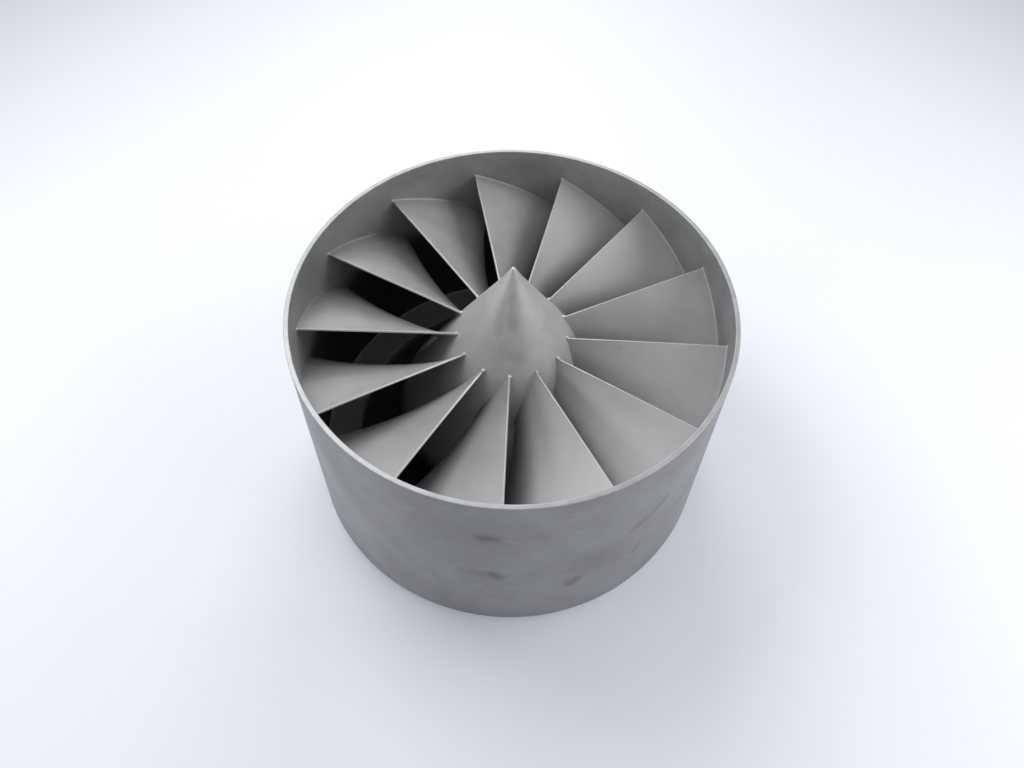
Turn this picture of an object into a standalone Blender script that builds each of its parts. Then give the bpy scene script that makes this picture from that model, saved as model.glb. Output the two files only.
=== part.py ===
"""Axial turbine impeller in its shroud.

A tall open shroud ring carries thirteen twisted blades, which hold a pointed cone
on the axis: a nose and the hollow hub that widens under it, past the blades' foot.
A flat ring turns in from the foot of the shroud.
The shroud and ring stand on the plane z = 0, and their axis is the world Z axis.
"""

import math

import bpy

# Driving dimensions in metres
BLADE_COUNT = 13
SEAT_GAP = 0.0003

SHROUD_HEIGHT = 0.455
RIM_OUTER_RADIUS = 0.400
BASE_OUTER_RADIUS = 0.404
BORE_RADIUS = 0.390
RIM_WALL = 0.0085
RIM_FLARE_DEPTH = 0.020
EDGE_ROUND = 0.0012
BASE_CHAMFER = 0.004
SECTOR_FACETS = 10

RING_THICKNESS = 0.021
RING_BORE_RADIUS = 0.322
RING_EDGE_ROUND = 0.0015

BLADE_TOP_AT_WALL = 0.395
BLADE_TOP_AT_HUB = 0.3545
BLADE_FOOT_AT_WALL = 0.275
BLADE_FOOT_AT_HUB = 0.270
BLADE_SWEEP_AT_WALL = math.radians(31)
BLADE_SWEEP_AT_HUB = math.radians(22.5)
BLADE_FOOT_TURN = 0.167
BLADE_FOOT_TURN_POWER = 9
BLADE_EDGE_THICKNESS = 0.0042
BLADE_BODY_THICKNESS = 0.0055
BLADE_ROWS = 12
BLADE_STEPS = 14
FIRST_BLADE_ANGLE = math.radians(130.72)

NOSE_TIP = 0.532
NOSE_FOOT = 0.355
NOSE_TIP_ROUND = 0.004
HUB_SHOULDER_RADIUS = 0.1015
HUB_FOOT = 0.130
HUB_FOOT_CHAMFER = 0.004
HUB_WALL = 0.020
HUB_CAVITY_TOP = 0.318
HUB_SIDES = 104
HUB_ROW_HEIGHT = 0.045

BLADE_PITCH = 2 * math.pi / BLADE_COUNT
SECTOR_FACET_ANGLE = BLADE_PITCH / SECTOR_FACETS
BORE_FLAT_RADIUS = BORE_RADIUS * math.cos(SECTOR_FACET_ANGLE / 2)

STEEL = {"colour": (0.36, 0.37, 0.38, 1.0), "roughness": 0.55, "metallic": 0.6}
DARK_STEEL = {"colour": (0.22, 0.225, 0.23, 1.0), "roughness": 0.6, "metallic": 0.6}


def clear_scene():
    """Start from an empty scene."""
    for thing in list(bpy.data.objects):
        bpy.data.objects.remove(thing, do_unlink=True)


def material(name, look):
    """Return a plain Principled material."""
    made = bpy.data.materials.new(name)
    made.use_nodes = True
    shader = made.node_tree.nodes["Principled BSDF"]
    shader.inputs["Base Color"].default_value = look["colour"]
    shader.inputs["Roughness"].default_value = look["roughness"]
    shader.inputs["Metallic"].default_value = look["metallic"]
    made.diffuse_color = look["colour"]
    return made


def add_solid(name, points, faces, look, sharp_angle=math.radians(35)):
    """Make one named object from its points and faces."""
    mesh = bpy.data.meshes.new(name)
    mesh.from_pydata(points, [], faces)
    mesh.validate()
    mesh.shade_smooth()
    mesh.set_sharp_from_angle(angle=sharp_angle)
    mesh.materials.append(look)
    solid = bpy.data.objects.new(name, mesh)
    bpy.context.scene.collection.objects.link(solid)
    return solid


def on_circle(radius, angle, height):
    """Return the point at this radius, angle and height."""
    return (radius * math.cos(angle), radius * math.sin(angle), height)


def mix(start, end, share):
    """Return the value at this share of the way from start to end."""
    return start + (end - start) * share


def round_corner(before, corner, after, size, steps):
    """Replace a profile corner by a short arc between its two sides."""
    points = []
    lengths = [math.dist(corner, before), math.dist(corner, after)]
    enter = [mix(corner[axis], before[axis], size / lengths[0]) for axis in range(2)]
    leave = [mix(corner[axis], after[axis], size / lengths[1]) for axis in range(2)]
    for step in range(steps + 1):
        share = step / steps
        near = [mix(enter[axis], corner[axis], share) for axis in range(2)]
        far = [mix(corner[axis], leave[axis], share) for axis in range(2)]
        points.append(tuple(mix(near[axis], far[axis], share) for axis in range(2)))
    return points


def rounded_profile(corners, sizes, steps=3):
    """Round each corner of a closed profile by its own size."""
    points = []
    for index, corner in enumerate(corners):
        before = corners[index - 1]
        after = corners[(index + 1) % len(corners)]
        if sizes[index]:
            points += round_corner(before, corner, after, sizes[index], steps)
        else:
            points.append(corner)
    return points


def shroud_profile():
    """Section of the shroud wall as (radius, height), up the bore and down outside."""
    corners = [
        (BORE_RADIUS, 0.0),
        (BORE_RADIUS, SHROUD_HEIGHT - RIM_FLARE_DEPTH),
        (RIM_OUTER_RADIUS - RIM_WALL, SHROUD_HEIGHT),
        (RIM_OUTER_RADIUS, SHROUD_HEIGHT),
        (BASE_OUTER_RADIUS, 0.0),
    ]
    return rounded_profile(corners, [0, 0, EDGE_ROUND, EDGE_ROUND, BASE_CHAMFER])


def swept_sector(profile, start, end, facets):
    """Turn a closed profile through an angle and close both ends."""
    count = len(profile)
    points = []
    for column in range(facets + 1):
        angle = mix(start, end, column / facets)
        points += [on_circle(radius, angle, height) for radius, height in profile]
    faces = [tuple(reversed(range(count))), tuple(range(facets * count, (facets + 1) * count))]
    for column in range(facets):
        for index in range(count):
            after = (index + 1) % count
            here = column * count
            there = here + count
            faces.append((here + after, there + after, there + index, here + index))
    return points, faces


def turned_ring(profile, sides):
    """Turn a closed profile right round the axis."""
    count = len(profile)
    points = []
    faces = []
    for side in range(sides):
        angle = 2 * math.pi * side / sides
        points += [on_circle(radius, angle, height) for radius, height in profile]
        here = side * count
        there = (side + 1) % sides * count
        for index in range(count):
            after = (index + 1) % count
            faces.append((here + after, there + after, there + index, here + index))
    return points, faces


def turned_solid(profile, sides):
    """Turn an open profile that starts and ends on the axis."""
    rings = profile[1:-1]
    points = [(0.0, 0.0, profile[0][1])]
    for radius, height in rings:
        points += [on_circle(radius, 2 * math.pi * side / sides, height) for side in range(sides)]
    points.append((0.0, 0.0, profile[-1][1]))
    last = len(points) - 1
    faces = []
    for side in range(sides):
        after = (side + 1) % sides
        faces.append((0, 1 + side, 1 + after))
        for row in range(len(rings) - 1):
            here = 1 + row * sides
            there = here + sides
            faces.append((here + side, there + side, there + after, here + after))
        here = 1 + (len(rings) - 1) * sides
        faces.append((here + side, last, here + after))
    return points, faces


def hub_radius(height):
    """Radius of the nose and hub, which are one cone."""
    return HUB_SHOULDER_RADIUS * (NOSE_TIP - height) / (NOSE_TIP - NOSE_FOOT)


def nose_profile():
    """Outline of the nose from its tip down to its flat foot."""
    profile = [(0.0, NOSE_TIP)]
    rows = round((NOSE_TIP - NOSE_FOOT) / HUB_ROW_HEIGHT)
    first = NOSE_TIP - NOSE_TIP_ROUND
    foot = NOSE_FOOT + SEAT_GAP
    for row in range(rows + 1):
        height = mix(first, foot, row / rows)
        profile.append((hub_radius(height), height))
    profile.append((0.0, foot))
    return profile


def hub_profile():
    """Outline of the hub body from its flat top down its side, across its foot and up its cavity."""
    profile = [(0.0, NOSE_FOOT)]
    rows = round((NOSE_FOOT - HUB_FOOT) / HUB_ROW_HEIGHT)
    for row in range(rows + 1):
        height = mix(NOSE_FOOT, HUB_FOOT + HUB_FOOT_CHAMFER, row / rows)
        profile.append((hub_radius(height), height))
    profile.append((hub_radius(HUB_FOOT) - HUB_FOOT_CHAMFER, HUB_FOOT))
    profile.append((hub_radius(HUB_FOOT) - HUB_WALL, HUB_FOOT))
    profile.append((hub_radius(HUB_CAVITY_TOP) - HUB_WALL, HUB_CAVITY_TOP))
    profile.append((0.0, HUB_CAVITY_TOP))
    return profile


def blade_middle(span, chord):
    """Turn angle and height on the blade's middle surface.

    span runs from 0 at the hub to 1 at the shroud, and chord from 0 at the upper
    edge to 1 at the lower edge.
    """
    sweep = mix(BLADE_SWEEP_AT_HUB, BLADE_SWEEP_AT_WALL, span)
    top = mix(BLADE_TOP_AT_HUB, BLADE_TOP_AT_WALL, span)
    foot = mix(BLADE_FOOT_AT_HUB, BLADE_FOOT_AT_WALL, span)
    drop = (1 - BLADE_FOOT_TURN) * chord + BLADE_FOOT_TURN * chord ** BLADE_FOOT_TURN_POWER
    return -sweep * chord, mix(top, foot, drop)


def blade_radius(span, height):
    """Radius at this share of the span, clear of the hub and of the bore."""
    inner = hub_radius(height) + SEAT_GAP
    outer = BORE_FLAT_RADIUS - SEAT_GAP
    return mix(inner, outer, span)


def blade_point(span, chord, side, turn):
    """Point on the blade's face, side being 1 for the upper face and -1 for the lower."""
    step = 0.001
    angle, height = blade_middle(span, chord)
    angle_after, height_after = blade_middle(span, chord + step)
    radius = blade_radius(span, height)
    along = radius * (angle_after - angle)
    down = height_after - height
    length = math.hypot(along, down)
    swell = math.sin(math.pi * chord)
    half = mix(BLADE_EDGE_THICKNESS, BLADE_BODY_THICKNESS, swell) / 2 * side
    height += half * abs(along) / length
    angle += half * down / length / radius
    return on_circle(blade_radius(span, height), turn + angle, height)


def blade_mesh(turn):
    """Points and faces of one blade, whose upper edge lies at this angle."""
    points = []
    loop = 2 * (BLADE_STEPS + 1)
    for row in range(BLADE_ROWS + 1):
        span = row / BLADE_ROWS
        chords = [step / BLADE_STEPS for step in range(BLADE_STEPS + 1)]
        points += [blade_point(span, chord, 1, turn) for chord in chords]
        points += [blade_point(span, chord, -1, turn) for chord in reversed(chords)]
    faces = []
    for row in range(BLADE_ROWS):
        here = row * loop
        there = here + loop
        for index in range(loop):
            after = (index + 1) % loop
            faces.append((here + after, there + after, there + index, here + index))
    last = BLADE_ROWS * loop
    for step in range(BLADE_STEPS):
        under = loop - 1 - step
        faces.append((under, under - 1, step + 1, step))
        faces.append((last + step, last + step + 1, last + under - 1, last + under))
    return points, faces


def build_shroud(look):
    """Add the shroud wall as one sector for each blade."""
    profile = shroud_profile()
    seam = SEAT_GAP / 2 / BORE_RADIUS
    for number in range(BLADE_COUNT):
        middle = FIRST_BLADE_ANGLE - number * BLADE_PITCH
        start = middle - BLADE_PITCH / 2 + seam
        end = middle + BLADE_PITCH / 2 - seam
        points, faces = swept_sector(profile, start, end, SECTOR_FACETS)
        add_solid(f"shroud_sector_{number + 1:02d}", points, faces, look)


def build_ring(look):
    """Add the flat ring at the foot of the shroud."""
    outer = BORE_FLAT_RADIUS - SEAT_GAP
    corners = [(RING_BORE_RADIUS, 0), (RING_BORE_RADIUS, RING_THICKNESS), (outer, RING_THICKNESS), (outer, 0)]
    sizes = [RING_EDGE_ROUND, RING_EDGE_ROUND, 0, 0]
    points, faces = turned_ring(rounded_profile(corners, sizes, 1), HUB_SIDES)
    add_solid("lower_ring", points, faces, look)


def build_hub(look):
    """Add the hub body and the nose on it."""
    points, faces = turned_solid(hub_profile(), HUB_SIDES)
    add_solid("hub_body", points, faces, look)
    points, faces = turned_solid(nose_profile(), HUB_SIDES)
    add_solid("nose_cone", points, faces, look)


def build_blades(look):
    """Add the blades, numbered clockwise as seen from above."""
    for number in range(BLADE_COUNT):
        points, faces = blade_mesh(FIRST_BLADE_ANGLE - (number + 1) * BLADE_PITCH)
        add_solid(f"blade_{number + 1:02d}", points, faces, look)


def main():
    clear_scene()
    build_shroud(material("shroud_steel", STEEL))
    build_ring(material("ring_steel", DARK_STEEL))
    build_hub(material("hub_steel", STEEL))
    build_blades(material("blade_steel", STEEL))


main()
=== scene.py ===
"""Turbine impeller in its shroud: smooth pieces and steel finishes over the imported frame."""

import math

import bpy
import numpy as np
from bpy.props import FloatProperty, FloatVectorProperty, IntProperty, PointerProperty
from mathutils import Matrix, Vector


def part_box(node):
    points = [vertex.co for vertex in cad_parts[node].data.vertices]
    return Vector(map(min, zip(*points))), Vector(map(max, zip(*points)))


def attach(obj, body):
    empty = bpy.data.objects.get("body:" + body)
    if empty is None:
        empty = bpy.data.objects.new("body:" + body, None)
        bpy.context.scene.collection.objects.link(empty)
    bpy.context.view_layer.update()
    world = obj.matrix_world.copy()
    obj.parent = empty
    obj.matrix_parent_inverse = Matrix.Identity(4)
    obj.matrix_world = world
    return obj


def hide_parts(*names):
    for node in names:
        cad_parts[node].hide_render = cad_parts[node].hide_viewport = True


bl_info = {
    "name": "Turbine Impeller",
    "version": (1, 0, 0),
    "blender": (4, 5, 0),
    "location": "View3D > Sidebar > Impeller",
    "description": "Dresses a shrouded axial turbine impeller and sets its floor, lights and camera",
    "category": "Add Mesh",
}

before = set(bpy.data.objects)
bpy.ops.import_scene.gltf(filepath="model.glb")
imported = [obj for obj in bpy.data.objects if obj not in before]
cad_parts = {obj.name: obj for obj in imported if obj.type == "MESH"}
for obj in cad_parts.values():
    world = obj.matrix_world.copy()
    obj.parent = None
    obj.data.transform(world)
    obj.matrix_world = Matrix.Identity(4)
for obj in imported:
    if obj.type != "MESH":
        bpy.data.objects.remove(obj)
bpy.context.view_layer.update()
NODES = sorted(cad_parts)
SECTOR_NODES = [node for node in NODES if node.startswith("shroud_sector_")]
BLADE_NODES = [node for node in NODES if node.startswith("blade_")]
SHROUD_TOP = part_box(SECTOR_NODES[0])[1].z
NOSE_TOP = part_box("nose_cone")[1].z
NOSE_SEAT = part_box("hub_body")[1].z
HUB_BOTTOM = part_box("hub_body")[0].z
RING_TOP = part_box("lower_ring")[1].z

# Steps of the meshes
WALL_SIDES = 312
WALL_ROWS = 34
HUB_SIDES = 208
HUB_ROWS = 64
CHORD_STEPS = 46
CHORD_MARGIN = 0.012
CORNER_STEPS = 4
SPAN_STEPS = 30
FILLET_STEPS = 6
BEAD_ROWS = 12
BEAD_SIDES = 18

# Small fixed sizes in metres
PIECE_SINK = 0.001
TIP_HOLE = 0.00005
NOSE_BLEND = 0.03
# Sizes of the painted shade by the blade ends, below the blades, off the roots and on the lower hub, and of
# the painted highlight along the roots
CORNER_SHADE_REACH = 0.018
UNDER_BLADES = 0.290
WALL_SHADE_FADE = 0.040
ROOT_CLEAN = 0.030
ROOT_LINE = 0.0055
HUB_SHADE_TOP = 0.165
HUB_SHADE_FADE = 0.030
RIM_BRIGHT_DEPTH = 0.0022
RIM_BRIGHT_FADE = 0.0016
FOOT_GRIND = 0.003
RING_EDGE = 0.0016
RING_LIFT = 0.0004
RING_LIP_FADE = 0.001
RING_BORE_FADE = 0.0018
BEAD_REACH = 0.0022
WALL_LEAN = 0.0088
RIPPLE_SHARE = 0.12
FLOOR_REACH = 30.0
FLOOR_PATCHES = 8
# Painted shade on the floor under the shroud: the radii over which it fades in, its share and its colour
FLOOR_SHADE_RADII = (0.388, 0.330)
FLOOR_SHADE_SHARE = 0.94
SHADE_COLOUR = (0.02, 0.02, 0.022)

# Shares of bright bare metal and painted highlight, of painted shade and of clouds in the steel
RIM_SHINE = 0.46
FOOT_SHINE = 0.45
RING_LIP_SHINE = 0.45
RING_BORE_SHINE = 0.3
UPPER_EDGE_SHINE = (0.75, 0.40)
LOWER_EDGE_SHINE = (0.35, 0.10)
ROOT_SHINE = 0.52
CORNER_SHADE_SHARE = 0.15
UNDERSIDE_SHADE = 0.75
PAINTED_SHADE_TONE = 0.12
PIT_SHARE = 0.35
WALL_CLOUDS = 0.13
RING_CLOUDS = 0.12
HUB_CLOUDS = 0.08
BLADE_CLOUDS = 0.06
BEAD_CLOUDS = 0.08

# How many waves of each pattern go to a metre
CLOUD_SCALE = 6.5
RAGGED_SCALE = 38.0
MOTTLE_SCALE = 42.0
SPECK_SCALE = 310.0
GRAIN_SCALE = 720.0

# Proportions of a bead: along the blade, across it and upwards
BEAD_STRETCH = (1.25, 1.0, 0.95)
BEAD_VARIATION = 0.10
BEAD_LUMPS = 0.05

# Soft lights
SOFTBOX_WIDTH = 1.2
SOFTBOX_HEIGHT = 1.4
SOFTBOX_AIM = (0.0, 0.0, 0.35)
HIGH_LEFT_SPOT = (-1.05, 0.7, 2.2)
HIGH_RIGHT_SPOT = (1.9, 0.3, 1.6)
FRONT_SPOT = (2.0, -1.1, 1.3)
SIDE_SPOT = (-2.2, -0.4, 0.7)
BACK_SPOT = (0.0, 2.7, 2.0)

# Marks on the outside wall: start and end as degrees round the axis and height, half width, strength
WALL_MARKS = (
    ((-95.2, 0.350), (-92.6, 0.351), 0.021, 0.50),
    ((-92.6, 0.205), (-91.8, 0.200), 0.021, 0.46),
    ((-73.4, 0.136), (-72.0, 0.152), 0.020, 0.40),
    ((-57.5, 0.262), (-49.5, 0.300), 0.022, 0.26),
    ((-55.6, 0.150), (-54.8, 0.170), 0.014, 0.22),
    ((-100.5, 0.206), (-95.0, 0.208), 0.022, 0.22),
)
WALL_SCRATCHES = (
    ((-90.8, 0.347), (-87.6, 0.336), 0.0016, 0.45),
    ((-101.6, 0.098), (-98.2, 0.062), 0.0016, 0.40),
    ((-99.4, 0.092), (-97.6, 0.074), 0.0012, 0.30),
)
# Dark strokes on the nose; the last, broad one across the front is painted shade.
NOSE_MARKS_AND_SHADE = (
    ((-92.0, 0.486), (-89.0, 0.440), 0.016, 0.20),
    ((-118.0, 0.470), (-112.0, 0.420), 0.014, 0.12),
    ((-100.0, 0.395), (-78.0, 0.380), 0.020, 0.12),
)


class ShroudSizes(bpy.types.PropertyGroup):
    """Sizes of the shroud wall and of the ring at its foot."""

    height: FloatProperty(
        name="Height", description="Height of the wall", default=SHROUD_TOP, unit="LENGTH"
    )
    rim_radius: FloatProperty(
        name="Rim radius", description="Outer radius at the rim", default=0.400, unit="LENGTH"
    )
    base_radius: FloatProperty(
        name="Base radius", description="Outer radius at the foot", default=0.404, unit="LENGTH"
    )
    bore_radius: FloatProperty(
        name="Bore radius", description="Radius inside", default=0.390, unit="LENGTH"
    )
    rim_wall: FloatProperty(
        name="Rim wall", description="Thickness of the wall at the rim", default=0.0085, unit="LENGTH"
    )
    flare_depth: FloatProperty(
        name="Flare depth",
        description="How far below the rim the bore opens out",
        default=0.020,
        unit="LENGTH",
    )
    rim_round: FloatProperty(
        name="Rim round", description="Radius on both edges of the rim", default=0.0013, unit="LENGTH"
    )
    base_round: FloatProperty(
        name="Base round",
        description="Radius on the outer edge of the foot",
        default=0.004,
        unit="LENGTH",
    )
    ripple: FloatProperty(
        name="Ripple", description="Height of the casting's slow ripple", default=0.00022, unit="LENGTH"
    )
    ring_bore: FloatProperty(
        name="Ring bore", description="Radius of the hole in the foot ring", default=0.322, unit="LENGTH"
    )
    ring_thickness: FloatProperty(
        name="Ring thickness", description="Thickness of the foot ring", default=RING_TOP, unit="LENGTH"
    )
    ring_bead: FloatProperty(
        name="Ring bead",
        description="Radius of the fillet where ring and wall meet",
        default=0.004,
        unit="LENGTH",
    )


class RunnerSizes(bpy.types.PropertyGroup):
    """Sizes of the hub, its nose and the blades."""

    blade_count: IntProperty(
        name="Blades", description="Number of blades", default=len(BLADE_NODES), min=3
    )
    first_angle: FloatProperty(
        name="First angle",
        description="Angle round the axis from which the blades are counted",
        default=math.radians(130.72),
        unit="ROTATION",
    )
    top_at_wall: FloatProperty(
        name="Top at wall",
        description="Height of the upper edge at the wall",
        default=0.395,
        unit="LENGTH",
    )
    top_at_hub: FloatProperty(
        name="Top at hub",
        description="Height of the upper edge at the hub",
        default=0.3545,
        unit="LENGTH",
    )
    foot_at_wall: FloatProperty(
        name="Foot at wall",
        description="Height of the lower edge at the wall",
        default=0.275,
        unit="LENGTH",
    )
    foot_at_hub: FloatProperty(
        name="Foot at hub",
        description="Height of the lower edge at the hub",
        default=0.270,
        unit="LENGTH",
    )
    sweep_at_wall: FloatProperty(
        name="Sweep at wall",
        description="Turn between the upper and lower edge at the wall",
        default=math.radians(31),
        unit="ROTATION",
    )
    sweep_at_hub: FloatProperty(
        name="Sweep at hub",
        description="Turn between the upper and lower edge at the hub",
        default=math.radians(22.5),
        unit="ROTATION",
    )
    foot_turn: FloatProperty(
        name="Foot turn",
        description="Share of the drop that comes in the last bend",
        default=0.167,
        min=0,
        max=1,
    )
    foot_turn_power: FloatProperty(
        name="Foot turn power", description="How late the last bend comes", default=9, min=2
    )
    edge_thickness: FloatProperty(
        name="Edge thickness", description="Blade thickness at its edges", default=0.0042, unit="LENGTH"
    )
    body_thickness: FloatProperty(
        name="Body thickness", description="Blade thickness in the middle", default=0.0055, unit="LENGTH"
    )
    edge_round: FloatProperty(
        name="Edge round", description="Radius on a blade's edges", default=0.0013, unit="LENGTH"
    )
    hub_fillet: FloatProperty(
        name="Hub fillet",
        description="Radius where a blade meets the hub",
        default=0.0022,
        unit="LENGTH",
    )
    wall_fillet: FloatProperty(
        name="Wall fillet",
        description="Radius where a blade meets the wall",
        default=0.0026,
        unit="LENGTH",
    )
    bead_radius: FloatProperty(
        name="Bead radius",
        description="Radius of the bead at a blade's inner end",
        default=0.0036,
        unit="LENGTH",
    )
    nose_tip: FloatProperty(
        name="Nose tip", description="Height of the tip", default=NOSE_TOP, unit="LENGTH"
    )
    nose_foot: FloatProperty(
        name="Nose foot", description="Height where nose and hub meet", default=NOSE_SEAT, unit="LENGTH"
    )
    shoulder_radius: FloatProperty(
        name="Shoulder radius",
        description="Radius where nose and hub meet",
        default=0.1015,
        unit="LENGTH",
    )
    hub_wall: FloatProperty(
        name="Hub wall", description="Thickness of the hollow hub", default=0.020, unit="LENGTH"
    )
    cavity_top: FloatProperty(
        name="Cavity top", description="Height of the hollow's roof", default=0.318, unit="LENGTH"
    )
    hub_foot: FloatProperty(
        name="Hub foot", description="Height of the hub's flat foot", default=HUB_BOTTOM, unit="LENGTH"
    )
    tip_round: FloatProperty(
        name="Tip round", description="Radius on the nose's tip", default=0.0045, unit="LENGTH"
    )
    foot_chamfer: FloatProperty(
        name="Foot chamfer", description="Chamfer on the hub's foot", default=0.004, unit="LENGTH"
    )


class SteelFinish(bpy.types.PropertyGroup):
    """Colours and surface of the blasted steel."""

    wall_colour: FloatVectorProperty(
        name="Wall",
        description="Steel of the shroud",
        default=(0.286, 0.288, 0.292),
        subtype="COLOR",
        size=3,
    )
    blade_colour: FloatVectorProperty(
        name="Blades",
        description="Steel of the blades",
        default=(0.388, 0.390, 0.396),
        subtype="COLOR",
        size=3,
    )
    hub_colour: FloatVectorProperty(
        name="Hub",
        description="Steel of the hub and nose",
        default=(0.490, 0.492, 0.498),
        subtype="COLOR",
        size=3,
    )
    # The foot ring's colour is painted paler than its steel, as painted light that stands in for light which
    # does not reach it.
    lightened_ring_colour: FloatVectorProperty(
        name="Foot ring",
        description="Steel of the foot ring",
        default=(0.600, 0.603, 0.610),
        subtype="COLOR",
        size=3,
    )
    # Bright bare metal of edges and scratches, also used for painted highlights on the ring's lip, the nose
    # tip and the blade roots.
    bright_metal_colour: FloatVectorProperty(
        name="Ground edges",
        description="Bright ground metal",
        default=(0.520, 0.522, 0.528),
        subtype="COLOR",
        size=3,
    )
    # Colour of pits and handling marks, and of the painted shade patch on the nose.
    mark_and_shade_colour: FloatVectorProperty(
        name="Marks",
        description="Soft dark handling marks",
        default=(0.075, 0.076, 0.080),
        subtype="COLOR",
        size=3,
    )
    roughness: FloatProperty(
        name="Roughness",
        description="Roughness of the blasted skin",
        default=0.56,
        min=0,
        max=1,
        subtype="FACTOR",
    )
    metallic: FloatProperty(
        name="Metallic",
        description="How metallic the skin looks",
        default=0.50,
        min=0,
        max=1,
        subtype="FACTOR",
    )
    grain: FloatProperty(
        name="Grain",
        description="Height of the blasted grain",
        default=0.00010,
        unit="LENGTH",
        precision=5,
    )


class StudioLook(bpy.types.PropertyGroup):
    """Floor, lights and camera."""

    floor_colour: FloatVectorProperty(
        name="Floor", description="Pale floor", default=(0.78, 0.81, 0.87), subtype="COLOR", size=3
    )
    sky_colour: FloatVectorProperty(
        name="Surround",
        description="Light from all round",
        default=(0.95, 0.97, 1.0),
        subtype="COLOR",
        size=3,
    )
    sky_strength: FloatProperty(
        name="Surround strength", description="Strength of the light from all round", default=0.47, min=0
    )
    left_power: FloatProperty(
        name="High left light",
        description="Power of the light high on the left",
        default=29,
        unit="POWER",
    )
    right_power: FloatProperty(
        name="High right light",
        description="Power of the light high on the right",
        default=15,
        unit="POWER",
    )
    front_power: FloatProperty(
        name="Front light",
        description="Power of the light on the right in front",
        default=14,
        unit="POWER",
    )
    side_power: FloatProperty(
        name="Side light", description="Power of the low light on the left", default=11, unit="POWER"
    )
    back_power: FloatProperty(
        name="Back light", description="Power of the light behind", default=28, unit="POWER"
    )
    camera_back: FloatProperty(
        name="Camera back",
        description="Camera's distance in front of the axis",
        default=0.9069,
        unit="LENGTH",
    )
    camera_height: FloatProperty(
        name="Camera height",
        description="Camera's height above the floor",
        default=1.5605,
        unit="LENGTH",
    )
    camera_pitch: FloatProperty(
        name="Camera pitch",
        description="Angle that the camera looks down",
        default=0.8511,
        unit="ROTATION",
    )
    camera_yaw: FloatProperty(
        name="Camera yaw",
        description="Angle that the camera looks aside",
        default=-0.0027,
        unit="ROTATION",
    )
    camera_roll: FloatProperty(
        name="Camera roll", description="Angle that the camera leans", default=0.0244, unit="ROTATION"
    )
    camera_lens: FloatProperty(
        name="Camera lens", description="Focal length in millimetres", default=28.273, min=1
    )
    camera_shift: FloatProperty(
        name="Camera shift", description="Upward shift as a share of the width", default=-0.1113
    )


class Reading:
    """One socket of a finish, which can be reckoned with as a number."""

    def __init__(self, finish, socket):
        self.finish = finish
        self.socket = socket

    def __add__(self, other):
        return self.finish.maths("ADD", self, other)

    __radd__ = __add__

    def __sub__(self, other):
        return self.finish.maths("SUBTRACT", self, other)

    def __rsub__(self, other):
        return self.finish.maths("SUBTRACT", other, self)

    def __mul__(self, other):
        return self.finish.maths("MULTIPLY", self, other)

    __rmul__ = __mul__

    def __truediv__(self, other):
        return self.finish.maths("DIVIDE", self, other)

    def __rtruediv__(self, other):
        return self.finish.maths("DIVIDE", other, self)


class Finish:
    """The nodes of one material."""

    def __init__(self, name):
        self.material = bpy.data.materials.new(name)
        self.material.use_nodes = True
        self.tree = self.material.node_tree
        self.tree.nodes.clear()

    def node(self, kind, settings, sockets, output=0):
        """Add a node of this type: its settings first, then the values or links of its sockets."""
        added = self.tree.nodes.new(kind)
        for name, value in settings.items():
            setattr(added, name, value)
        for name, value in sockets.items():
            if isinstance(value, Reading):
                self.tree.links.new(value.socket, added.inputs[name])
            else:
                added.inputs[name].default_value = value
        return Reading(self, added.outputs[output]) if added.outputs else None

    def maths(self, operation, *values):
        """Work out numbers in a Math node."""
        return self.node("ShaderNodeMath", {"operation": operation}, dict(enumerate(values)))

    def vectors(self, operation, *values, output=0):
        """Work out vectors in a Vector Math node."""
        return self.node("ShaderNodeVectorMath", {"operation": operation}, dict(enumerate(values)), output)

    def mix(self, share, first, second):
        """Mix two colours."""
        sockets = {0: share, 6: opaque(first), 7: opaque(second)}
        return self.node("ShaderNodeMix", {"data_type": "RGBA"}, sockets, 2)

    def noise(self, place, scale, detail=2.0, roughness=0.5, distortion=0.0):
        """A soft random pattern from 0 to 1."""
        sockets = {
            "Vector": place,
            "Scale": scale,
            "Detail": detail,
            "Roughness": roughness,
            "Distortion": distortion,
        }
        return self.node("ShaderNodeTexNoise", {}, sockets, "Fac")

    def between(self, value, low, high):
        """Rise smoothly from 0 at low to 1 at high."""
        sockets = {"Value": value, "From Min": low, "From Max": high}
        return self.node("ShaderNodeMapRange", {"interpolation_type": "SMOOTHSTEP"}, sockets)

    def painted(self, name):
        """A mask that is painted on the mesh's points."""
        return self.node("ShaderNodeAttribute", {"attribute_name": name}, {}, "Fac")

    def stroke(self, place, start, end, half_width, ragged):
        """A soft mark from one point to another, with an uneven edge."""
        along = end - start
        from_start = self.vectors("SUBTRACT", place, tuple(start))
        reach = self.vectors("DOT_PRODUCT", from_start, tuple(along), output=1)
        share = self.node("ShaderNodeClamp", {}, {"Value": reach * (1 / along.length_squared)})
        foot = self.node("ShaderNodeVectorMath", {"operation": "SCALE"}, {0: tuple(along), "Scale": share})
        away = self.vectors("DISTANCE", from_start, foot, output=1)
        return self.between(away + (ragged - 0.5) * (half_width * 1.6), half_width, 0.0)

    def surface(self, colour, roughness, metallic, height, depth):
        """Join the readings to the shader and return the material."""
        bump = self.node("ShaderNodeBump", {}, {"Strength": 1.0, "Distance": depth, "Height": height})
        sockets = {"Base Color": colour, "Roughness": roughness, "Metallic": metallic, "Normal": bump}
        shader = self.node("ShaderNodeBsdfPrincipled", {}, sockets)
        self.node("ShaderNodeOutputMaterial", {}, {"Surface": shader})
        return self.material


def opaque(colour):
    """Add full alpha to a plain colour."""
    return colour if isinstance(colour, Reading) else (*colour, 1.0)


def round_axis(degrees, height, radius):
    """The point at this angle in degrees, height and radius."""
    angle = math.radians(degrees)
    return Vector((radius * math.cos(angle), radius * math.sin(angle), height))


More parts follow.
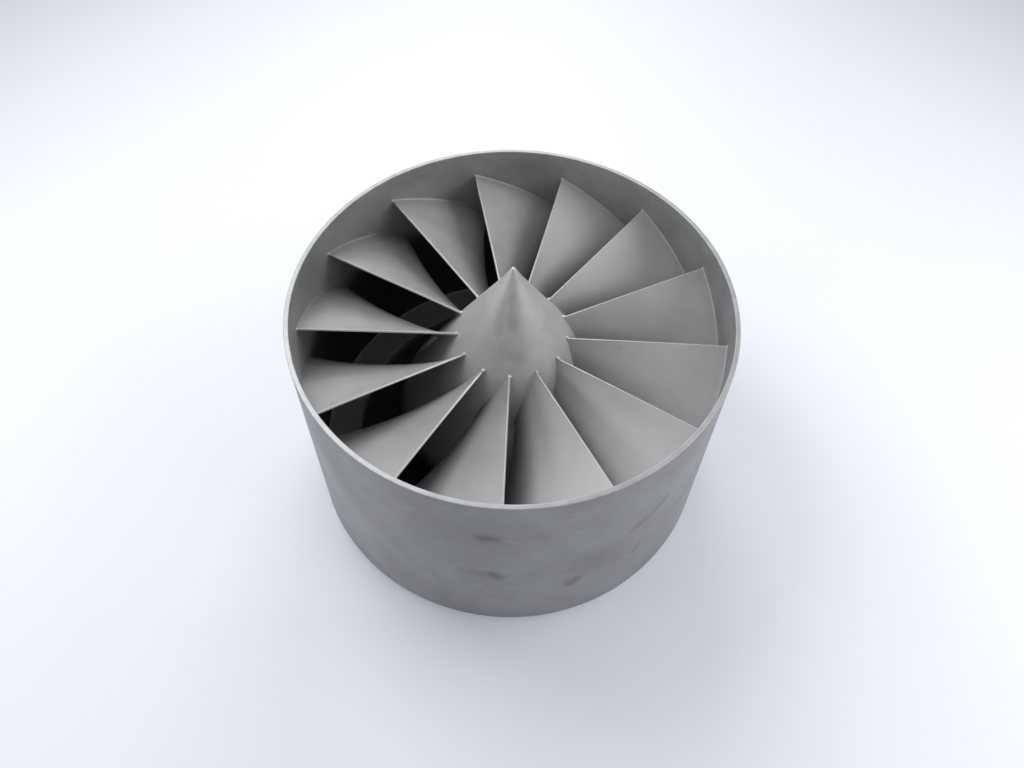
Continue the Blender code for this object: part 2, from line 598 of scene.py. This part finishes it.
def steel(name, colour, look, clouds, strokes=(), scratches=()):
    """Blasted steel with soft clouds, small pits, handling marks, a patch of painted shade on the nose,
    painted shade where light hardly reaches and bright edges of bare metal with painted highlights among
    them.
    """
    finish = Finish(name)
    place = finish.node("ShaderNodeTexCoord", {}, {}, "Object")
    cloud = finish.noise(place, CLOUD_SCALE, 4.0, 0.55, 0.4)
    mottle = finish.noise(place, MOTTLE_SCALE, 5.0, 0.62)
    speck = finish.noise(place, SPECK_SCALE, 3.0, 0.6)
    grain = finish.noise(place, GRAIN_SCALE, 2.0, 0.5)
    tone = finish.between(cloud * 0.6 + mottle * 0.28 + speck * 0.12, 0.36, 0.64)
    dark = [channel * (1 - clouds) for channel in colour]
    light = [channel * (1 + clouds) for channel in colour]
    skin = finish.mix(tone, dark, light)
    pit = finish.between(speck * 0.7 + mottle * 0.3, 0.36, 0.30)
    skin = finish.mix(pit * PIT_SHARE, skin, look.mark_and_shade_colour)
    pits_and_strokes = pit * 0.1
    ragged = finish.noise(place, RAGGED_SCALE, 4.0, 0.6)
    # Dark strokes: handling marks, and on the nose a broad patch of painted shade.
    for start, end, half_width, strength in strokes:
        mark = finish.stroke(place, start, end, half_width, ragged) * strength
        skin = finish.mix(mark, skin, look.mark_and_shade_colour)
        pits_and_strokes = pits_and_strokes + mark
    for start, end, half_width, strength in scratches:
        scratch = finish.stroke(place, start, end, half_width, ragged) * strength
        skin = finish.mix(scratch, skin, look.bright_metal_colour)
    # Painted shade: this mask darkens the skin towards a near-black copy of its colour where light hardly
    # reaches.
    painted_shade = finish.painted("painted_shade")
    dark_shade_colour = [channel * PAINTED_SHADE_TONE for channel in colour]
    skin = finish.mix(painted_shade * (0.75 + mottle * 0.3), skin, dark_shade_colour)
    # Brightening towards bright metal: bare edges, with painted highlights on the ring's lip, the nose tip
    # and the blade roots.
    brightened = finish.painted("wear_and_highlight")
    wear_and_highlight = finish.between(brightened + (mottle - 0.5) * 0.26 + (speck - 0.5) * 0.12, 0.25, 0.72)
    skin = finish.mix(wear_and_highlight, skin, look.bright_metal_colour)
    roughness = look.roughness + (mottle - 0.5) * 0.22 - wear_and_highlight * 0.10 + pits_and_strokes * 0.08
    metallic = look.metallic + wear_and_highlight * 0.25
    height = grain * 0.55 + speck * 0.65 * (1 - wear_and_highlight * 0.7) + mottle * 1.3
    return finish.surface(skin, roughness, metallic, height, look.grain)


def add_piece(name, points, faces, finish, stands_for=(), masks=None):
    """Link one smooth mesh, ride it on the part and hide the nodes it stands for."""
    mesh = bpy.data.meshes.new(name)
    mesh.from_pydata(points, [], faces)
    mesh.shade_smooth()
    for mask, values in (masks or {}).items():
        mesh.attributes.new(mask, "FLOAT", "POINT").data.foreach_set("value", values)
    mesh.materials.append(finish)
    piece = bpy.data.objects.new(name, mesh)
    bpy.context.scene.collection.objects.link(piece)
    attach(piece, "root")
    if stands_for:
        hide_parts(*stands_for)
    return piece


def arc(centre, radius, start, end, steps):
    """Points on an arc in a section, angles in degrees from the outward direction."""
    angles = np.radians(np.linspace(start, end, steps + 1))
    return [(centre[0] + radius * math.cos(a), centre[1] + radius * math.sin(a)) for a in angles]


def run(start, end, steps):
    """Evenly spaced points between two points, both left out."""
    shares = np.linspace(0, 1, steps + 1)[1:-1]
    return [(start[0] + (end[0] - start[0]) * s, start[1] + (end[1] - start[1]) * s) for s in shares]


def turn(profile, sides, closed, ripple=None):
    """Points and faces of a section turned round the axis."""
    section = np.array(profile)
    angles = np.linspace(0, 2 * math.pi, sides, endpoint=False)[:, None]
    radius = np.repeat(section[None, :, 0], sides, axis=0)
    height = np.repeat(section[None, :, 1], sides, axis=0)
    if ripple:
        radius = radius + ripple(angles, height)
    points = np.stack([radius * np.cos(angles), radius * np.sin(angles), height], axis=-1)
    count = len(profile)
    faces = []
    for side in range(sides):
        here = side * count
        there = (side + 1) % sides * count
        for index in range(count if closed else count - 1):
            after = (index + 1) % count
            faces.append((here + index, there + index, there + after, here + after))
    return points.reshape(-1, 3).tolist(), faces


def shroud_section(sizes):
    """Section of the wall, counted up the outside, over the rim and down the bore."""
    top = sizes.height
    edge = sizes.rim_round
    foot = sizes.base_round
    rim_in = sizes.rim_radius - sizes.rim_wall
    flare_foot = (sizes.bore_radius, top - sizes.flare_depth)
    outside_foot = (sizes.base_radius, foot)
    outside_top = (sizes.rim_radius, top - edge)
    section = [(sizes.bore_radius, 0.0)]
    section += run(section[-1], (sizes.base_radius - foot, 0.0), 4)
    section += arc((sizes.base_radius - foot, foot), foot, -90, 0, 5)
    section += run(outside_foot, outside_top, WALL_ROWS)
    section += arc((sizes.rim_radius - edge, top - edge), edge, 0, 90, 4)
    section += run((sizes.rim_radius - edge, top), (rim_in + edge, top), 4)
    section += arc((rim_in + edge, top - edge), edge, 90, 180, 4)
    section += run((rim_in, top - edge), flare_foot, 5)
    section.append(flare_foot)
    section += run(flare_foot, section[0], WALL_ROWS)
    return section


def cast_ripple(height_of_ripple):
    """Slow waves of a casting, as a function of angle and height."""

    def ripple(angle, height):
        waves = np.sin(3 * angle + 0.7 + 3 * height)
        waves = waves + 0.6 * np.sin(7 * angle - 1.1 + 11 * height)
        waves = waves + 0.35 * np.sin(17 * angle + 0.4 - 23 * height)
        return waves * height_of_ripple / 2

    return ripple


def make_shroud(sizes, look):
    """Add the wall as one smooth ring."""
    section = shroud_section(sizes)
    points, faces = turn(section, WALL_SIDES, True, cast_ripple(sizes.ripple))
    rows = np.array(section)
    rim = RIM_SHINE * np.clip((rows[:, 1] - (sizes.height - RIM_BRIGHT_DEPTH)) / RIM_BRIGHT_FADE, 0, 1)
    foot = FOOT_SHINE * np.clip((FOOT_GRIND - rows[:, 1]) / FOOT_GRIND, 0, 1)
    # Painted shade inside the wall, growing darker downwards from below the blades.
    inside = rows[:, 0] < sizes.bore_radius + PIECE_SINK
    under = np.where(inside, np.clip((UNDER_BLADES - rows[:, 1]) / WALL_SHADE_FADE, 0, 1), 0)
    masks = {
        "wear_and_highlight": np.tile(np.maximum(rim, foot), WALL_SIDES),
        "painted_shade": np.tile(under, WALL_SIDES),
    }

    def wall_radius(height):
        return sizes.rim_radius + WALL_LEAN * (sizes.height - height)

    strokes = marks_on(WALL_MARKS, wall_radius)
    scratches = marks_on(WALL_SCRATCHES, wall_radius)
    finish = steel("blasted_wall", look.wall_colour, look, WALL_CLOUDS, strokes, scratches)
    add_piece("shroud_wall", points, faces, finish, SECTOR_NODES, masks)


def marks_on(marks, radius_at):
    """Turn marks given as angle and height into points on a turned surface."""
    placed = []
    for start, end, half_width, strength in marks:
        first = round_axis(*start, radius_at(start[1]))
        last = round_axis(*end, radius_at(end[1]))
        placed.append((first, last, half_width, strength))
    return placed


def make_ring(sizes, look):
    """Add the flat ring at the foot, with the fillet that joins it to the wall."""
    top = sizes.ring_thickness
    bore = sizes.ring_bore
    outer = sizes.bore_radius + PIECE_SINK
    edge = RING_EDGE
    bead = sizes.ring_bead
    section = [(outer, RING_LIFT)]
    section += run(section[-1], (bore + edge, RING_LIFT), 5)
    section += arc((bore + edge, edge + RING_LIFT), edge, 270, 180, 4)
    section += run((bore, edge), (bore, top - edge), 4)
    section += arc((bore + edge, top - edge), edge, 180, 90, 4)
    section += run((bore + edge, top), (sizes.bore_radius - bead, top), 9)
    section += arc((sizes.bore_radius - bead, top + bead), bead, 270, 360, 6)
    section.append((outer, top + bead))
    points, faces = turn(section, WALL_SIDES, True)
    rows = np.array(section)
    # The rounded lip where the ring rises into the wall gets a painted highlight; the bore's edge gets
    # brighter metal.
    lip = np.clip((rows[:, 1] - top - RING_LIP_FADE / 5) / RING_LIP_FADE, 0, 1) * RING_LIP_SHINE
    inner = np.clip(1 - (rows[:, 0] - bore) / RING_BORE_FADE, 0, 1) * RING_BORE_SHINE
    masks = {
        "wear_and_highlight": np.tile(np.maximum(lip, inner), WALL_SIDES),
        "painted_shade": np.zeros(len(points)),
    }
    finish = steel("blasted_ring", look.lightened_ring_colour, look, RING_CLOUDS)
    turned_out = [tuple(reversed(face)) for face in faces]
    add_piece("foot_ring", points, turned_out, finish, ["lower_ring"], masks)


def hub_radius(sizes, height):
    """Radius of the nose and hub, which are one cone."""
    return sizes.shoulder_radius * (sizes.nose_tip - height) / (sizes.nose_tip - sizes.nose_foot)


def hub_section(sizes):
    """Section of nose and hub from the tip down the side, across the foot and up the hollow."""
    slope = sizes.shoulder_radius / (sizes.nose_tip - sizes.nose_foot)
    lean = math.atan(slope)
    tip = sizes.tip_round
    centre = sizes.nose_tip - tip
    section = [(TIP_HOLE, sizes.nose_tip)]
    section += arc((0.0, centre), tip, 84, math.degrees(lean), 7)
    start = section[-1][1]
    cone_shift = section[-1][0] - slope * (sizes.nose_tip - start)
    for height in np.linspace(start, sizes.hub_foot + sizes.foot_chamfer, HUB_ROWS)[1:]:
        fade = max(0.0, 1 - (start - height) / NOSE_BLEND)
        section.append((float(hub_radius(sizes, height)) + cone_shift * fade, float(height)))
    side = section[-1][0]
    chamfer = sizes.foot_chamfer
    section += arc((side - chamfer, sizes.hub_foot + chamfer), chamfer, 0, -90, 4)[1:]
    inside_foot = (side - sizes.hub_wall, sizes.hub_foot)
    roof = (float(hub_radius(sizes, sizes.cavity_top)) - sizes.hub_wall, sizes.cavity_top)
    section += run(section[-1], inside_foot, 5)
    section.append(inside_foot)
    section += run(inside_foot, roof, 12)
    section.append(roof)
    section += run(roof, (TIP_HOLE, sizes.cavity_top), 8)
    section.append((TIP_HOLE, sizes.cavity_top))
    return section


def make_hub(sizes, look, ripple):
    """Add nose and hub as one smooth turned piece."""
    section = hub_section(sizes)
    points, faces = turn(section, HUB_SIDES, False, hub_ripple(sizes, ripple))
    count = len(section)
    faces = [tuple(reversed(face)) for face in faces]
    faces.append(tuple(side * count for side in range(HUB_SIDES)))
    faces.append(tuple(side * count + count - 1 for side in reversed(range(HUB_SIDES))))
    rows = np.array(section)
    # A painted highlight on the nose tip.
    tip = np.clip(1 - (sizes.nose_tip - rows[:, 1]) / (sizes.tip_round * 1.5), 0, 1)
    # Painted shade on the lower hub, below the blades.
    low = np.clip((HUB_SHADE_TOP - rows[:, 1]) / HUB_SHADE_FADE, 0, 1)
    masks = {"wear_and_highlight": np.tile(tip, HUB_SIDES), "painted_shade": np.tile(low, HUB_SIDES)}
    strokes = marks_on(NOSE_MARKS_AND_SHADE, lambda height: float(hub_radius(sizes, height)))
    finish = steel("blasted_hub", look.hub_colour, look, HUB_CLOUDS, strokes)
    add_piece("nosed_hub", points, faces, finish, ["hub_body", "nose_cone"], masks)


def hub_ripple(sizes, height_of_ripple):
    """The casting's ripple, faded out towards the tip."""
    waves = cast_ripple(height_of_ripple)

    def ripple(angle, height):
        fade = np.clip((sizes.nose_tip - height) / (sizes.nose_tip - sizes.nose_foot), 0, 1)
        return waves(angle, height) * fade

    return ripple


class BladeForm:
    """The middle surface of one blade, its section and its fillets."""

    def __init__(self, sizes, bore):
        self.sizes = sizes
        self.bore = bore
        self.reach = bore - sizes.shoulder_radius

    def middle(self, span, chord):
        """Points on the middle surface, for a blade whose upper edge lies at angle 0."""
        sizes = self.sizes
        sweep = sizes.sweep_at_hub + (sizes.sweep_at_wall - sizes.sweep_at_hub) * span
        top = sizes.top_at_hub + (sizes.top_at_wall - sizes.top_at_hub) * span
        foot = sizes.foot_at_hub + (sizes.foot_at_wall - sizes.foot_at_hub) * span
        bent = np.clip(chord, 0, None) ** sizes.foot_turn_power
        drop = (1 - sizes.foot_turn) * chord + sizes.foot_turn * bent
        height = top + (foot - top) * drop
        inner = hub_radius(sizes, height)
        radius = inner + (self.bore - inner) * span
        angle = -sweep * chord
        return np.stack([radius * np.cos(angle), radius * np.sin(angle), height], axis=-1)

    def spans(self):
        """Stations along the blade, close together in both fillets, with their gaps to hub and wall."""
        near_hub = fillet_stations(self.sizes.hub_fillet)
        near_wall = fillet_stations(self.sizes.wall_fillet)
        middle = np.linspace(near_hub[-1], self.reach - near_wall[-1], SPAN_STEPS + 1)[1:-1]
        hub_gap = np.concatenate([near_hub, middle, self.reach - near_wall[::-1]])
        return hub_gap / self.reach, hub_gap, self.reach - hub_gap

    def section(self):
        """Stations round the section: chord, lift, shift along the chord, outward direction, edge
        brightening.
        """
        sizes = self.sizes
        edge = sizes.edge_round
        half = sizes.edge_thickness / 2
        flat = half - edge
        corner = np.radians(np.linspace(0, 90, CORNER_STEPS + 1))
        top_shine, top_side_shine = UPPER_EDGE_SHINE
        foot_shine, foot_side_shine = LOWER_EDGE_SHINE
        upper = [(0.0, flat * 0.4, 0.0, 0.0, -1.0, top_shine)]
        for angle in corner:
            rise = math.sin(angle)
            fall = math.cos(angle)
            shine = top_shine + (top_side_shine - top_shine) * rise
            upper.append((0.0, flat + edge * rise, edge * (1 - fall), rise, -fall, shine))
        eased = 0.5 - 0.5 * np.cos(np.linspace(0, math.pi, CHORD_STEPS))
        for chord in CHORD_MARGIN + (1 - 2 * CHORD_MARGIN) * eased:
            swell = math.sin(math.pi * chord)
            lift = half + (sizes.body_thickness - sizes.edge_thickness) / 2 * swell
            upper.append((chord, lift, 0.0, 1.0, 0.0, 0.0))
        for angle in corner[::-1]:
            rise = math.sin(angle)
            fall = math.cos(angle)
            shine = foot_shine + (foot_side_shine - foot_shine) * rise
            upper.append((1.0, flat + edge * rise, edge * (fall - 1), rise, fall, shine))
        upper.append((1.0, flat * 0.4, 0.0, 0.0, 1.0, foot_shine))
        lower = []
        for chord, lift, shift, out, along, shine in reversed(upper):
            lower.append((chord, -lift, shift, -out, along, shine))
        return np.array(upper + lower)

    def skin(self, phase):
        """Points of the blade's skin and its masks, rows along the span and columns round the section."""
        sizes = self.sizes
        spans, hub_gap, wall_gap = self.spans()
        stations = self.section()
        span, chord = np.meshgrid(spans, stations[:, 0], indexing="ij")
        step = 0.0005
        centre = self.middle(span, chord)
        along = self.middle(span, chord + step) - self.middle(span, chord - step)
        along /= np.linalg.norm(along, axis=-1, keepdims=True)
        outward = centre * (1, 1, 0)
        outward /= np.linalg.norm(outward, axis=-1, keepdims=True)
        facing = np.cross(along, outward)
        facing /= np.linalg.norm(facing, axis=-1, keepdims=True)
        facing *= np.sign(facing[..., 2:3])
        flare = fillet_height(sizes.hub_fillet, hub_gap) + fillet_height(sizes.wall_fillet, wall_gap)
        flare = flare[:, None, None]
        lift, shift, out, ahead = (stations[None, :, column, None] for column in range(1, 5))
        wave = np.sin(8 * span + phase) * np.cos(6 * chord + 2 * phase)
        wave = wave + 0.5 * np.sin(17 * chord - 5 * span + phase)
        lift = lift + RIPPLE_SHARE * wave[..., None] * sizes.edge_round
        points = centre + facing * (lift + flare * out) + along * (shift + flare * ahead)
        angle = np.arctan2(points[..., 1], points[..., 0])
        height = points[..., 2]
        inner = hub_radius(sizes, height)
        radius = inner + (self.bore - inner) * span
        points = np.stack([radius * np.cos(angle), radius * np.sin(angle), height], axis=-1)
        # A painted highlight: a bright line along each blade's root at the hub.
        root_highlight = ROOT_SHINE * np.clip(1 - hub_gap / ROOT_LINE, 0, 1)[:, None]
        wear_and_highlight = np.maximum(stations[None, :, 5], root_highlight)
        # Painted shade near the hub and the wall, and on the underside away from the root.
        near = CORNER_SHADE_SHARE * np.clip(1 - np.minimum(hub_gap, wall_gap) / CORNER_SHADE_REACH, 0, 1)[:, None]
        facing_down = np.clip(-stations[None, :, 3], 0, 1)
        clear_of_root = np.clip(hub_gap / ROOT_CLEAN, 0, 1)[:, None]
        underside = facing_down * UNDERSIDE_SHADE * clear_of_root
        painted_shade = np.maximum(near, underside) * (1 - wear_and_highlight)
        return points, {"wear_and_highlight": wear_and_highlight.ravel(), "painted_shade": painted_shade.ravel()}


def fillet_stations(radius):
    """Distances from a surface at which a fillet of this radius is cut, the first under the surface."""
    angles = np.linspace(0, math.pi / 2, FILLET_STEPS + 1)
    return np.concatenate([[-PIECE_SINK], radius * (1 - np.cos(angles))])


def fillet_height(radius, gap):
    """How far a fillet of this radius stands out at this distance from the surface."""
    inner = np.clip(radius - gap, 0, radius)
    return radius - np.sqrt(radius**2 - inner**2)


def make_blades(sizes, bore, look):
    """Add the blades, each turned on from the last."""
    form = BladeForm(sizes, bore)
    finish = steel("blasted_blade", look.blade_colour, look, BLADE_CLOUDS)
    pitch = 2 * math.pi / sizes.blade_count
    for number in range(1, sizes.blade_count + 1):
        points, masks = form.skin(number * 1.7)
        rows, loop = points.shape[:2]
        faces = []
        for row in range(rows - 1):
            here = row * loop
            there = here + loop
            for index in range(loop):
                after = (index + 1) % loop
                faces.append((here + after, there + after, there + index, here + index))
        last = (rows - 1) * loop
        for index in range(loop // 2 - 1):
            under = loop - 1 - index
            faces.append((under, under - 1, index + 1, index))
            faces.append((last + index, last + index + 1, last + under - 1, last + under))
        spin = Matrix.Rotation(sizes.first_angle - number * pitch, 3, "Z")
        placed = points.reshape(-1, 3) @ np.array(spin).T
        nodes = [f"blade_{number:02d}"]
        add_piece(f"cast_blade_{number:02d}", placed.tolist(), faces, finish, nodes, masks)


def make_beads(sizes, bore, look):
    """Add the small bead at the inner end of each blade's upper edge."""
    form = BladeForm(sizes, bore)
    finish = steel("ground_bead", look.bright_metal_colour, look, BEAD_CLOUDS)
    pitch = 2 * math.pi / sizes.blade_count
    reach = np.array([BEAD_REACH / form.reach])
    seat = Vector(form.middle(reach, np.array([0.0]))[0])
    for number in range(1, sizes.blade_count + 1):
        size = sizes.bead_radius * (1 + BEAD_VARIATION * math.sin(number * 2.3))
        points = [Vector((0, 0, 1))]
        for row in range(1, BEAD_ROWS):
            fall = math.pi * row / BEAD_ROWS
            for side in range(BEAD_SIDES):
                angle = 2 * math.pi * side / BEAD_SIDES
                lump = 1 + BEAD_LUMPS * math.sin(3 * angle + number) * math.sin(2 * fall + number)
                flat = math.sin(fall) * lump
                up = math.cos(fall) * lump
                points.append(Vector((flat * math.cos(angle), flat * math.sin(angle), up)))
        points.append(Vector((0, 0, -1)))
        faces = bead_faces()
        spin = Matrix.Rotation(sizes.first_angle - number * pitch, 3, "Z")
        stretch = Vector(BEAD_STRETCH) * size
        placed = [tuple(spin @ (seat + point * stretch)) for point in points]
        masks = {"wear_and_highlight": [1.0] * len(points), "painted_shade": [0.0] * len(points)}
        add_piece(f"root_bead_{number:02d}", placed, faces, finish, (), masks)


def bead_faces():
    """Faces of a bead, from its top point down to its bottom point."""
    last = 1 + (BEAD_ROWS - 1) * BEAD_SIDES
    faces = []
    for side in range(BEAD_SIDES):
        after = (side + 1) % BEAD_SIDES
        faces.append((0, 1 + side, 1 + after))
        for row in range(BEAD_ROWS - 2):
            here = 1 + row * BEAD_SIDES
            there = here + BEAD_SIDES
            faces.append((here + side, there + side, there + after, here + after))
        here = last - BEAD_SIDES
        faces.append((here + side, last, here + after))
    return faces


def make_floor(studio):
    """Add the pale floor, with a disc of painted shade on it under the shroud."""
    across_count = FLOOR_PATCHES + 1
    steps = np.linspace(-FLOOR_REACH, FLOOR_REACH, across_count)
    points = [(float(across), float(back), 0.0) for back in steps for across in steps]
    faces = []
    for row in range(FLOOR_PATCHES):
        for column in range(FLOOR_PATCHES):
            here = row * across_count + column
            there = here + across_count
            faces.append((here, here + 1, there + 1, there))
    mesh = bpy.data.meshes.new("pale_floor")
    mesh.from_pydata(points, [], faces)
    finish = Finish("pale_floor")
    place = finish.node("ShaderNodeTexCoord", {}, {}, "Object")
    cloud = finish.noise(place, 1.2, 3.0)
    fine = finish.noise(place, 60.0, 3.0)
    worn = [channel * 0.97 for channel in studio.floor_colour]
    colour = finish.mix(cloud, worn, studio.floor_colour)
    away = finish.vectors("LENGTH", place, output=1)
    # Painted shade: the floor turns near-black inside the shroud's bore.
    floor_shade = finish.between(away, *FLOOR_SHADE_RADII)
    colour = finish.mix(floor_shade * FLOOR_SHADE_SHARE, colour, SHADE_COLOUR)
    mesh.materials.append(finish.surface(colour, 0.55 + fine * 0.1, 0.0, fine, 0.0002))
    floor = bpy.data.objects.new("pale_floor", mesh)
    bpy.context.scene.collection.objects.link(floor)


def add_softbox(name, spot, power):
    """Add one soft square light that faces the impeller."""
    light = bpy.data.lights.new(name, "AREA")
    light.shape = "RECTANGLE"
    light.size = SOFTBOX_WIDTH
    light.size_y = SOFTBOX_HEIGHT
    light.energy = power
    box = bpy.data.objects.new(name, light)
    box.location = spot
    box.rotation_euler = (Vector(SOFTBOX_AIM) - Vector(spot)).to_track_quat("-Z", "Y").to_euler()
    bpy.context.scene.collection.objects.link(box)


def light_studio(studio):
    """Set the surround and the soft lights."""
    world = bpy.data.worlds.new("pale_surround")
    world.use_nodes = True
    surround = world.node_tree.nodes["Background"]
    surround.inputs["Color"].default_value = (*studio.sky_colour, 1.0)
    surround.inputs["Strength"].default_value = studio.sky_strength
    bpy.context.scene.world = world
    add_softbox("high_left_light", HIGH_LEFT_SPOT, studio.left_power)
    add_softbox("high_right_light", HIGH_RIGHT_SPOT, studio.right_power)
    add_softbox("front_light", FRONT_SPOT, studio.front_power)
    add_softbox("side_light", SIDE_SPOT, studio.side_power)
    add_softbox("back_light", BACK_SPOT, studio.back_power)
    bpy.context.scene.view_settings.view_transform = "Standard"


def set_camera(studio):
    """Set the camera at the photograph's place and angle."""
    pitch = studio.camera_pitch
    yaw = studio.camera_yaw
    ahead = Vector((math.sin(yaw) * math.cos(pitch), math.cos(yaw) * math.cos(pitch), -math.sin(pitch)))
    level = Vector((math.cos(yaw), -math.sin(yaw), 0.0))
    above = level.cross(ahead)
    right = level * math.cos(studio.camera_roll) + above * math.sin(studio.camera_roll)
    above = above * math.cos(studio.camera_roll) - level * math.sin(studio.camera_roll)
    axes = Matrix((right, above, -ahead)).transposed()
    lens = bpy.data.cameras.new("photo_view")
    lens.lens = studio.camera_lens
    lens.shift_y = studio.camera_shift
    camera = bpy.data.objects.new("photo_view", lens)
    spot = Matrix.Translation((0.0, -studio.camera_back, studio.camera_height))
    camera.matrix_world = spot @ axes.to_4x4()
    bpy.context.scene.collection.objects.link(camera)
    bpy.context.scene.camera = camera


class IMPELLER_OT_shroud(bpy.types.Operator):
    """Add the shroud wall"""

    bl_idname = "impeller.shroud"
    bl_label = "Shroud wall"

    def execute(self, context):
        make_shroud(context.scene.shroud_sizes, context.scene.steel_finish)
        return {"FINISHED"}


class IMPELLER_OT_ring(bpy.types.Operator):
    """Add the flat ring at the shroud's foot"""

    bl_idname = "impeller.ring"
    bl_label = "Foot ring"

    def execute(self, context):
        make_ring(context.scene.shroud_sizes, context.scene.steel_finish)
        return {"FINISHED"}


class IMPELLER_OT_hub(bpy.types.Operator):
    """Add the hub with its pointed nose"""

    bl_idname = "impeller.hub"
    bl_label = "Hub and nose"

    def execute(self, context):
        scene = context.scene
        make_hub(scene.runner_sizes, scene.steel_finish, scene.shroud_sizes.ripple)
        return {"FINISHED"}


class IMPELLER_OT_blades(bpy.types.Operator):
    """Add the twisted blades"""

    bl_idname = "impeller.blades"
    bl_label = "Blades"

    def execute(self, context):
        scene = context.scene
        make_blades(scene.runner_sizes, scene.shroud_sizes.bore_radius, scene.steel_finish)
        return {"FINISHED"}


class IMPELLER_OT_beads(bpy.types.Operator):
    """Add the bead at each blade's inner end"""

    bl_idname = "impeller.beads"
    bl_label = "Root beads"

    def execute(self, context):
        scene = context.scene
        make_beads(scene.runner_sizes, scene.shroud_sizes.bore_radius, scene.steel_finish)
        return {"FINISHED"}


class IMPELLER_OT_stage(bpy.types.Operator):
    """Set the floor, the lights and the camera"""

    bl_idname = "impeller.stage"
    bl_label = "Stage"

    def execute(self, context):
        studio = context.scene.studio_look
        make_floor(studio)
        light_studio(studio)
        set_camera(studio)
        return {"FINISHED"}


class IMPELLER_PT_panel(bpy.types.Panel):
    """Lists the sizes, colours and steps of the impeller"""

    bl_label = "Turbine impeller"
    bl_idname = "IMPELLER_PT_panel"
    bl_space_type = "VIEW_3D"
    bl_region_type = "UI"
    bl_category = "Impeller"

    def draw(self, context):
        for group_name in GROUPS:
            group = getattr(context.scene, group_name)
            box = self.layout.box()
            box.label(text=group_name.replace("_", " ").capitalize())
            for setting in group.__annotations__:
                box.prop(group, setting)
        for step in STEPS:
            self.layout.operator(step.bl_idname)


GROUPS = {
    "shroud_sizes": ShroudSizes,
    "runner_sizes": RunnerSizes,
    "steel_finish": SteelFinish,
    "studio_look": StudioLook,
}
STEPS = (
    IMPELLER_OT_shroud,
    IMPELLER_OT_ring,
    IMPELLER_OT_hub,
    IMPELLER_OT_blades,
    IMPELLER_OT_beads,
    IMPELLER_OT_stage,
)


def register():
    """Register the settings, the steps and the panel."""
    for name, group in GROUPS.items():
        bpy.utils.register_class(group)
        setattr(bpy.types.Scene, name, PointerProperty(type=group))
    for step in STEPS:
        bpy.utils.register_class(step)
    bpy.utils.register_class(IMPELLER_PT_panel)


def unregister():
    """Take the panel, the steps and the settings out again."""
    bpy.utils.unregister_class(IMPELLER_PT_panel)
    for step in reversed(STEPS):
        bpy.utils.unregister_class(step)
    for name, group in reversed(GROUPS.items()):
        delattr(bpy.types.Scene, name)
        bpy.utils.unregister_class(group)


def main():
    """Make every piece and the stage."""
    register()
    bpy.ops.impeller.shroud()
    bpy.ops.impeller.ring()
    bpy.ops.impeller.hub()
    bpy.ops.impeller.blades()
    bpy.ops.impeller.beads()
    bpy.ops.impeller.stage()


if __name__ == "__main__":
    main()
